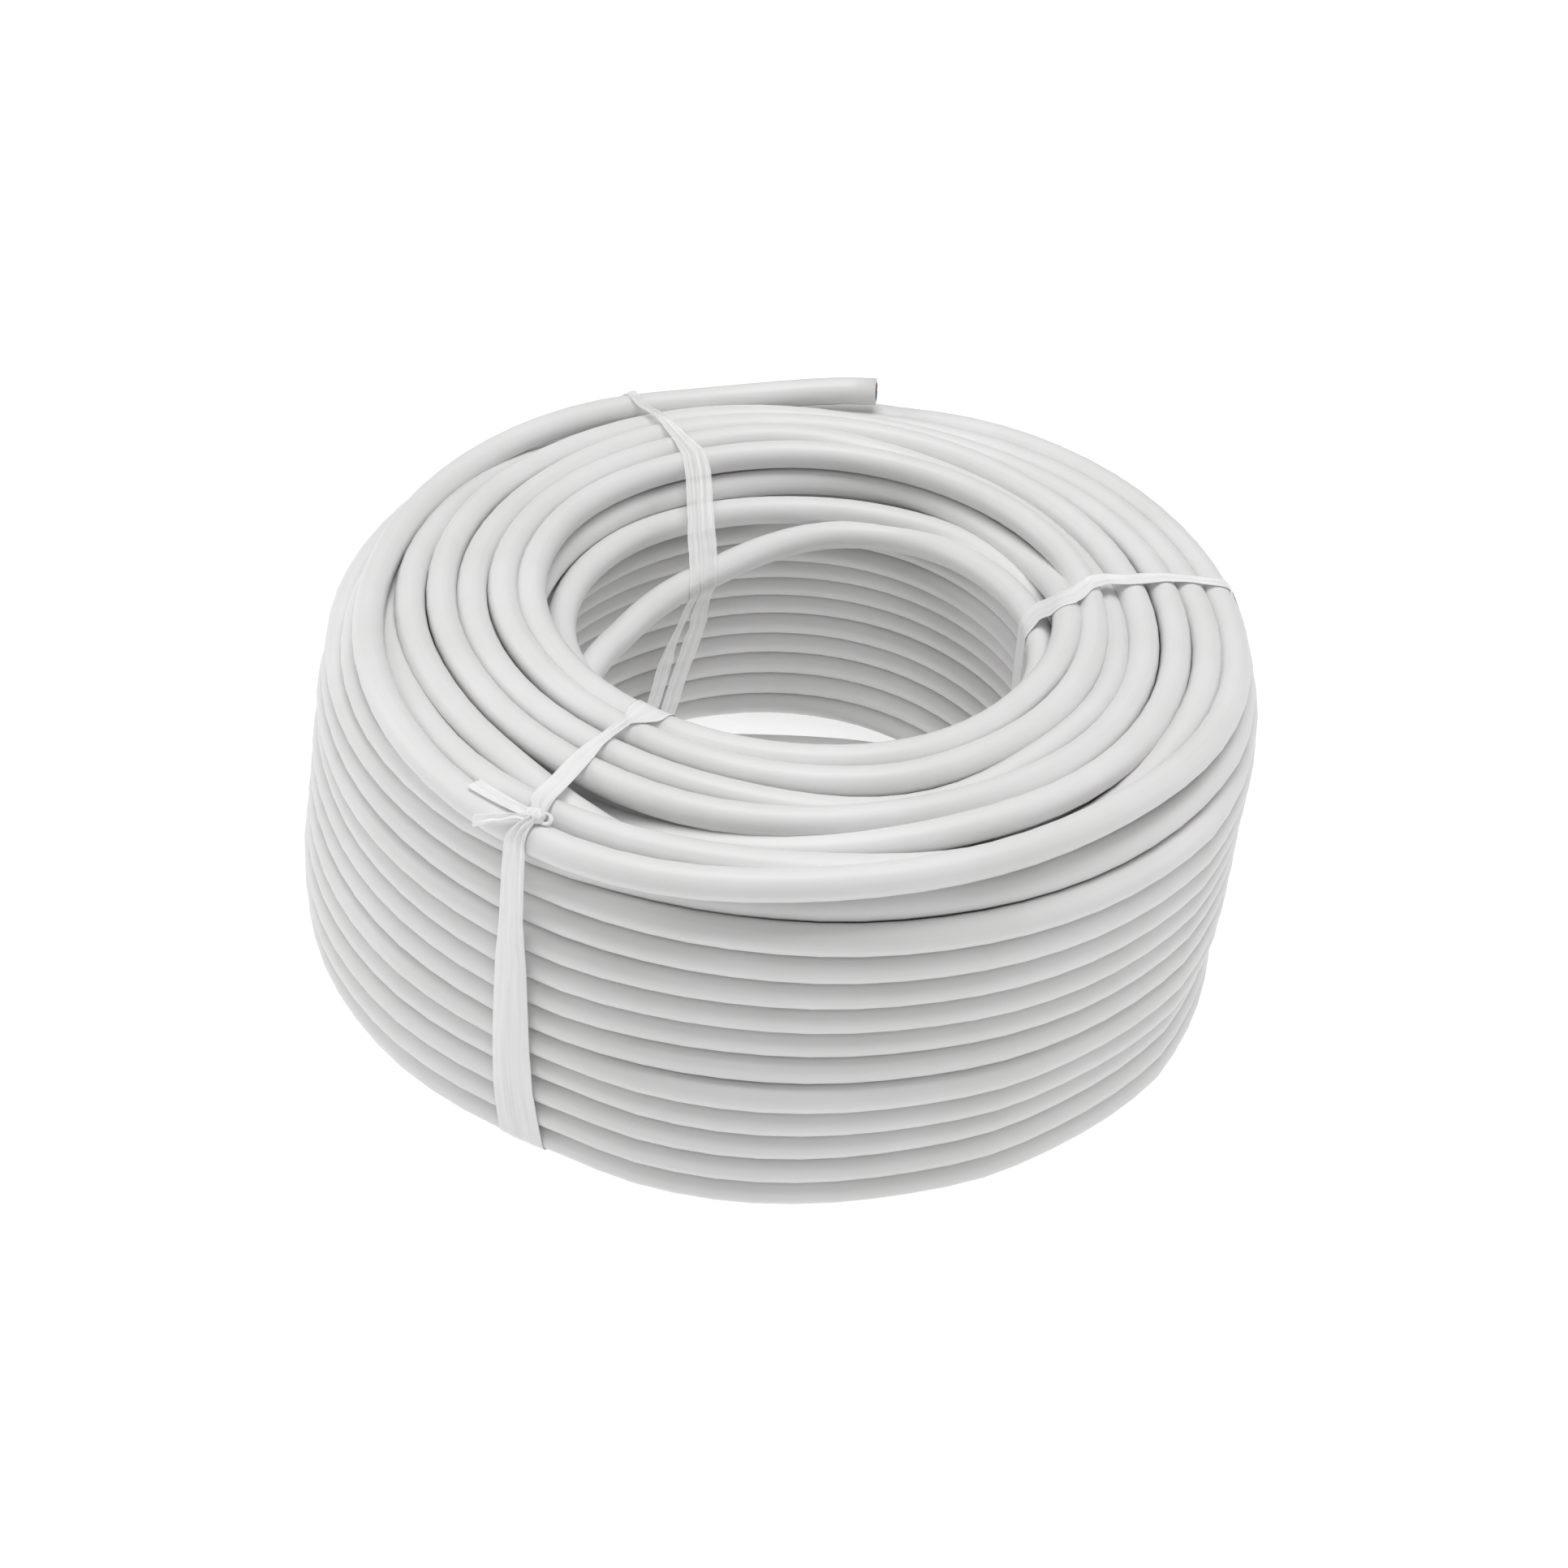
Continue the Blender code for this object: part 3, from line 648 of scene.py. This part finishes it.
frontStops = [
    (-112, -123.2, -117.8, 3, 0.05, 0), (-90, -123.2, -117.6, 3, 0.06, 0), (-66, -123.5, -117.4, 3, 0.07, 0),
    (-53, -124.0, -118.4, 3, 0.07, 0), (-34, -123.8, -118.6, 3, 0.07, 0), (0, -123.3, -118.6, 3, 0.07, 0),
    (23.5, -122.9, -118.6, 3, 0.07, 0), (45, -122.0, -118.8, 3, 0.08, 0), (55, -121.6, -118.5, 3, 0.09, 0),
    (60, -121.1, -118.2, 3, 0.12, 0.02), (63.5, -120.3, -118.3, 3, 0.2, 0.05), (67, -119.4, -118.2, 2, 0.25, 0.1),
    (69.5, -119.9, -118.0, 2, 0.22, 0.1), (72.5, -121.5, -118.6, 2, 0.15, 0.04), (76, -122.0, -119.1, 2, 0.1, 0.02),
    (82.3, -122.3, -119.4, 2, 0.08, 0), (89.9, -123.0, -119.9, 2, 0.08, 0), (94.5, -123.3, -120.3, 2, 0.1, 0),
    (99.5, -123.2, -121.0, 2, 0.1, 0.02), (104.5, -123.1, -121.1, 2, 0.12, 0.03),
    (108, -123.0, -120.9, 2, 0.15, 0.04), (110.5, -123.0, -120.9, 2, 0.15, 0.03),
    (112.5, -123.8, -119.4, 2, 0.06, 0), (115, -125.0, -117.2, 3, 0.04, 0), (119, -125.2, -116.6, 3, 0.03, 0),
    (124, -125.2, -116.6, 3, 0.03, 0), (140, -124.2, -117, 3, 0.05, 0), (180, -123.4, -117.4, 3, 0.06, 0),
    (230, -123.2, -117.8, 3, 0.06, 0), (262, -123.2, -117.8, 3, 0.05, 0)]
rightStops = [
    (-108, 13.2, 7.2, 3, 0.05, 0), (-60, 13, 7.6, 3, 0.05, 0), (0, 12.4, 7.8, 3, 0.05, 0),
    (50, 11.6, 8.6, 3, 0.05, 0), (69, 11.0, 8.8, 2, 0.08, 0), (76.5, 11.6, 9.7, 2, 0.1, 0.01),
    (81.3, 12.4, 10.4, 2, 0.1, 0.01), (88.3, 13.2, 10.7, 2, 0.1, 0.01), (93.7, 13.3, 10.2, 2, 0.1, 0.01),
    (99.2, 13.1, 9.9, 2, 0.12, 0.02), (104.6, 13.4, 10.2, 2, 0.14, 0.03), (108.9, 13.2, 8.6, 2, 0.12, 0.03),
    (111.6, 12.3, 5.9, 2, 0.06, 0), (114.5, 10.2, 3.6, 2, 0.04, 0), (118.4, 9.6, 2.5, 2, 0.04, 0),
    (121, 11.2, 2.6, 2, 0.04, 0), (124.4, 13.4, 5.5, 2, 0.05, 0), (130, 12.4, 4.4, 2, 0.06, 0),
    (136, 12.9, 4.6, 2, 0.06, 0), (144, 15, 6.8, 2, 0.06, 0), (170, 16.5, 8.4, 3, 0.06, 0),
    (220, 16, 8.6, 3, 0.06, 0), (252, 14, 8, 3, 0.05, 0), (264, 13.2, 7.4, 3, 0.05, 0)]
backStops = [
    (-108, 119.8, 117.4, 2, 0.04, 0), (-60, 120.6, 118, 2, 0.05, 0), (0, 121.2, 118.6, 2, 0.06, 0),
    (45, 121.6, 119.2, 2, 0.06, 0), (70, 121.6, 119.8, 2, 0.08, 0), (87, 121.4, 120.1, 2, 0.1, 0.02),
    (93.5, 119.8, 118.2, 2, 0.1, 0.02), (99.5, 119.8, 117.1, 2, 0.09, 0), (106.5, 119.9, 116.3, 2, 0.07, 0),
    (112.5, 120.6, 114.8, 2, 0.05, 0), (118.5, 121.7, 115.1, 2, 0.04, 0), (125, 124, 116.5, 2, 0.04, 0),
    (132, 127.3, 118.5, 2, 0.03, 0), (140, 133, 121.6, 2, 0.03, 0), (144, 137, 124.2, 2, 0.03, 0),
    (148, 142.5, 127.2, 2, 0.03, 0)]
strandLeft = [
    (148, 142.5, 136.6, 2, 0.04, 0), (152, 142, 136.2, 2, 0.04, 0), (160, 137.9, 133.8, 2, 0.05, 0),
    (174, 135.7, 130.5, 2, 0.05, 0), (186, 133.7, 127.6, 2, 0.05, 0), (206, 130.3, 125.3, 2, 0.05, 0),
    (226, 128, 123.6, 2, 0.05, 0), (247, 126, 122, 2, 0.04, 0), (262, 122.5, 119.4, 2, 0.03, 0),
    (276, 119.8, 117.6, 2, 0.03, 0)]
strandRight = [
    (148, 136.6, 127.2, 2, 0.04, 0), (152, 135.6, 127.2, 2, 0.04, 0), (164, 129.5, 121.3, 2, 0.05, 0),
    (185, 126, 119.2, 2, 0.05, 0), (209, 124, 118.6, 2, 0.05, 0), (226, 122.8, 117.8, 2, 0.05, 0),
    (240, 121.7, 117.1, 2, 0.04, 0), (253, 120.6, 116.7, 2, 0.03, 0), (265, 119.2, 116.4, 2, 0.03, 0),
    (276, 118.2, 116.6, 2, 0.03, 0)]


# splits a table of stops lengthwise at a share of its width
def halfOf(stops, low, high, lift):
    return [(a, l + (r - l) * low, l + (r - l) * high, folds, depth, up + lift)
            for a, l, r, folds, depth, up in stops]


# the knot: a lump of wound film with a small loop beside it, shaped on the wrap
def knotPiece(name, azimuth, angle, lift, size, loop):
    at = onWrap(azimuth, angle, lift, True)
    out = (onWrap(azimuth, angle, lift + 1, True) - at).normalized()
    turned = out.to_track_quat("Z", "Y")
    bpy.ops.object.select_all(action="DESELECT")
    if loop:
        bpy.ops.mesh.primitive_torus_add(major_radius=loop * d, minor_radius=size[0] * d, major_segments=64,
                                         minor_segments=14)
    else:
        bpy.ops.mesh.primitive_uv_sphere_add(segments=56, ring_count=32, radius=d)
    lump = bpy.context.object
    lump.name = name
    for corner in lump.data.vertices:
        p = corner.co.copy()
        if loop:
            p.x *= 1.3
            p += Vector((0, 0, 0.5 * size[0] * d * sin(3 * atan2(p.y, p.x))))
        else:
            lumpy = 0.16 * noise.noise(p / d * 2.2 + Vector((azimuth, 0, 0)))
            wound = 0.07 * sin(9 * p.z / d + 3 * p.x / d)
            p = Vector((p.x * size[0], p.y * size[1], p.z * size[2])) * (1 + lumpy + wound)
        corner.co = at + turned @ p
    applyAll(lump)
    bpy.ops.object.shade_smooth()
    return lump


packing = filmMaterial("packingFilm", filmLook["cover"])
stretched = filmMaterial("stretchedFilm", filmLook["coverStretched"])
backTie = [wrapRibbon("backLeft", halfOf(backStops[:-1], 0, 0.46, 0) + strandLeft, 0.2),
           wrapRibbon("backRight", halfOf(backStops[:-1], 0.42, 1, 0.02) + strandRight, 0.7)]
rightTie = [wrapRibbon("rightWrap", rightStops, 0.1)]
frontTie = [wrapRibbon("frontWrap", frontStops, 0.45, True),
            looseEnd("endOver", [(-118.7, 67.0, 69.0, 1, 0.14, 0.2), (-120.4, 66.7, 69.5, 1, 0.1, 0.14),
                                 (-122.4, 66.6, 69.8, 1, 0.06, 0.09), (-124.6, 66.5, 70.0, 1, 0.04, 0.07),
                                 (-126.6, 66.4, 70.1, 1, 0.03, 0.07), (-128.0, 66.4, 70.0, 1, 0.03, 0.08)], 0.15),
            looseEnd("endDown", [(-118.8, 66.0, 67.6, 1, 0.12, 0.22), (-120.2, 64.4, 66.2, 1, 0.1, 0.25),
                                 (-121.7, 62.6, 64.4, 1, 0.08, 0.3), (-123.3, 61.0, 62.8, 1, 0.06, 0.35),
                                 (-124.9, 59.8, 61.6, 1, 0.05, 0.36)], 0.6),
            knotPiece("knot", -118.7, 68.0, 0.2, (0.3, 0.24, 0.2), 0),
            knotPiece("knotLoop", -117.9, 68.6, 0.1, (0.06, 0, 0), 0.17)]
ties = {"tieBack": (backTie, "tie_back", stretched), "tieRight": (rightTie, "tie_right", packing),
        "tieFront": (frontTie, "tie_front", packing)}
for name, (tie, node, material) in ties.items():
    piece = joinAll(name, tie)
    wearObject(piece, [material])
    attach(piece, "root")
    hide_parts(node)
    print(name, "wrapped:", len(piece.data.polygons), "faces")

# floor and lights
studio = {
    "floor": 6.0, "floorColor": (0.5, 0.5, 0.5), "floorGlow": 0.68, "airGlow": 0.22,
    "aim": (0, 0, 0.05),
    # place, size and power of each light
    "lights": {"overhead": ((0, 0, 2.0), (1.2, 1.2), 24), "front": ((-0.1, -1.3, 1.5), (1.6, 1.0), 4.6),
               "left": ((-1.6, 0.1, 0.8), (1.2, 1.0), 9.2), "right": ((1.6, 0.0, 0.8), (1.2, 1.0), 6)},
}
bpy.ops.mesh.primitive_plane_add(size=studio["floor"], location=(0, 0, 0))
floorPlane = bpy.context.object
floorPlane.name = "floor"
paleFloor = plainMaterial("paleFloor", studio["floorColor"], 0.7, 0.0, 40.0, 0.01)
glow = paleFloor.node_tree.nodes["Principled BSDF"].inputs     # a lit table top
glow["Emission Color"].default_value, glow["Emission Strength"].default_value = (1, 1, 1, 1), studio["floorGlow"]
wearObject(floorPlane, [paleFloor])


def softLight(name, spot, size, power):
    bpy.ops.object.light_add(type="AREA", location=spot)
    lamp = bpy.context.object
    lamp.name = name
    lamp.data.shape = "RECTANGLE"
    lamp.data.size, lamp.data.size_y = size
    lamp.data.energy = power
    lamp.rotation_euler = (Vector(studio["aim"]) - Vector(spot)).to_track_quat("-Z", "Y").to_euler()


for name, light in studio["lights"].items():
    softLight(name, *light)
world = bpy.data.worlds.new("studioAir")
world.use_nodes = True
world.node_tree.nodes["Background"].inputs["Color"].default_value = (1, 1, 1, 1)
world.node_tree.nodes["Background"].inputs["Strength"].default_value = studio["airGlow"]
bpy.context.scene.world = world
bpy.context.scene.view_settings.view_transform = "Standard"
print("floor and lights set")
